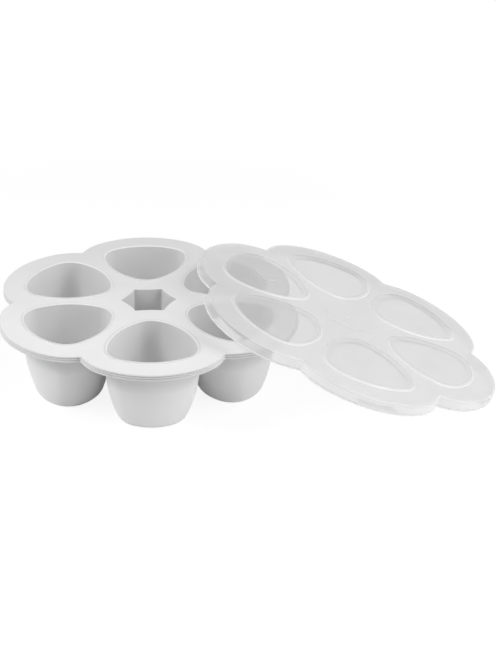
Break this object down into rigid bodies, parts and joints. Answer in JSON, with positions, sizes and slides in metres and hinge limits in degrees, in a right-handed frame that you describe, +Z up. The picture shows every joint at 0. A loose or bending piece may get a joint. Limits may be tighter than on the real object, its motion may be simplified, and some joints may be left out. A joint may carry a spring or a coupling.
{
  "type": "baby food freezer tray",
  "caption": "Flower-shaped silicone freezer tray with rounded-triangle cups round a star socket, and a translucent lid leaning against it.",
  "frame": {"origin": "on the table, under the middle of the tray", "axes": "+Z up; one cup points to -Y, the front; the lid leans down towards +X"},
  "size_m": [0.3954, 0.271, 0.0877],
  "materials": {
    "silicone": "satin, matt silicone",
    "polypropylene": "translucent, frosted"
  },
  "bodies": {
    "tray": {"silicone_tray": "silicone"},
    "lid": {"lid": "polypropylene"}
  },
  "joints": [
    {"name": "lid_lift", "type": "slide", "parent": "tray", "child": "lid", "axis": [0, 0, 1], "range_m": [0, 0.1]}
  ]
}
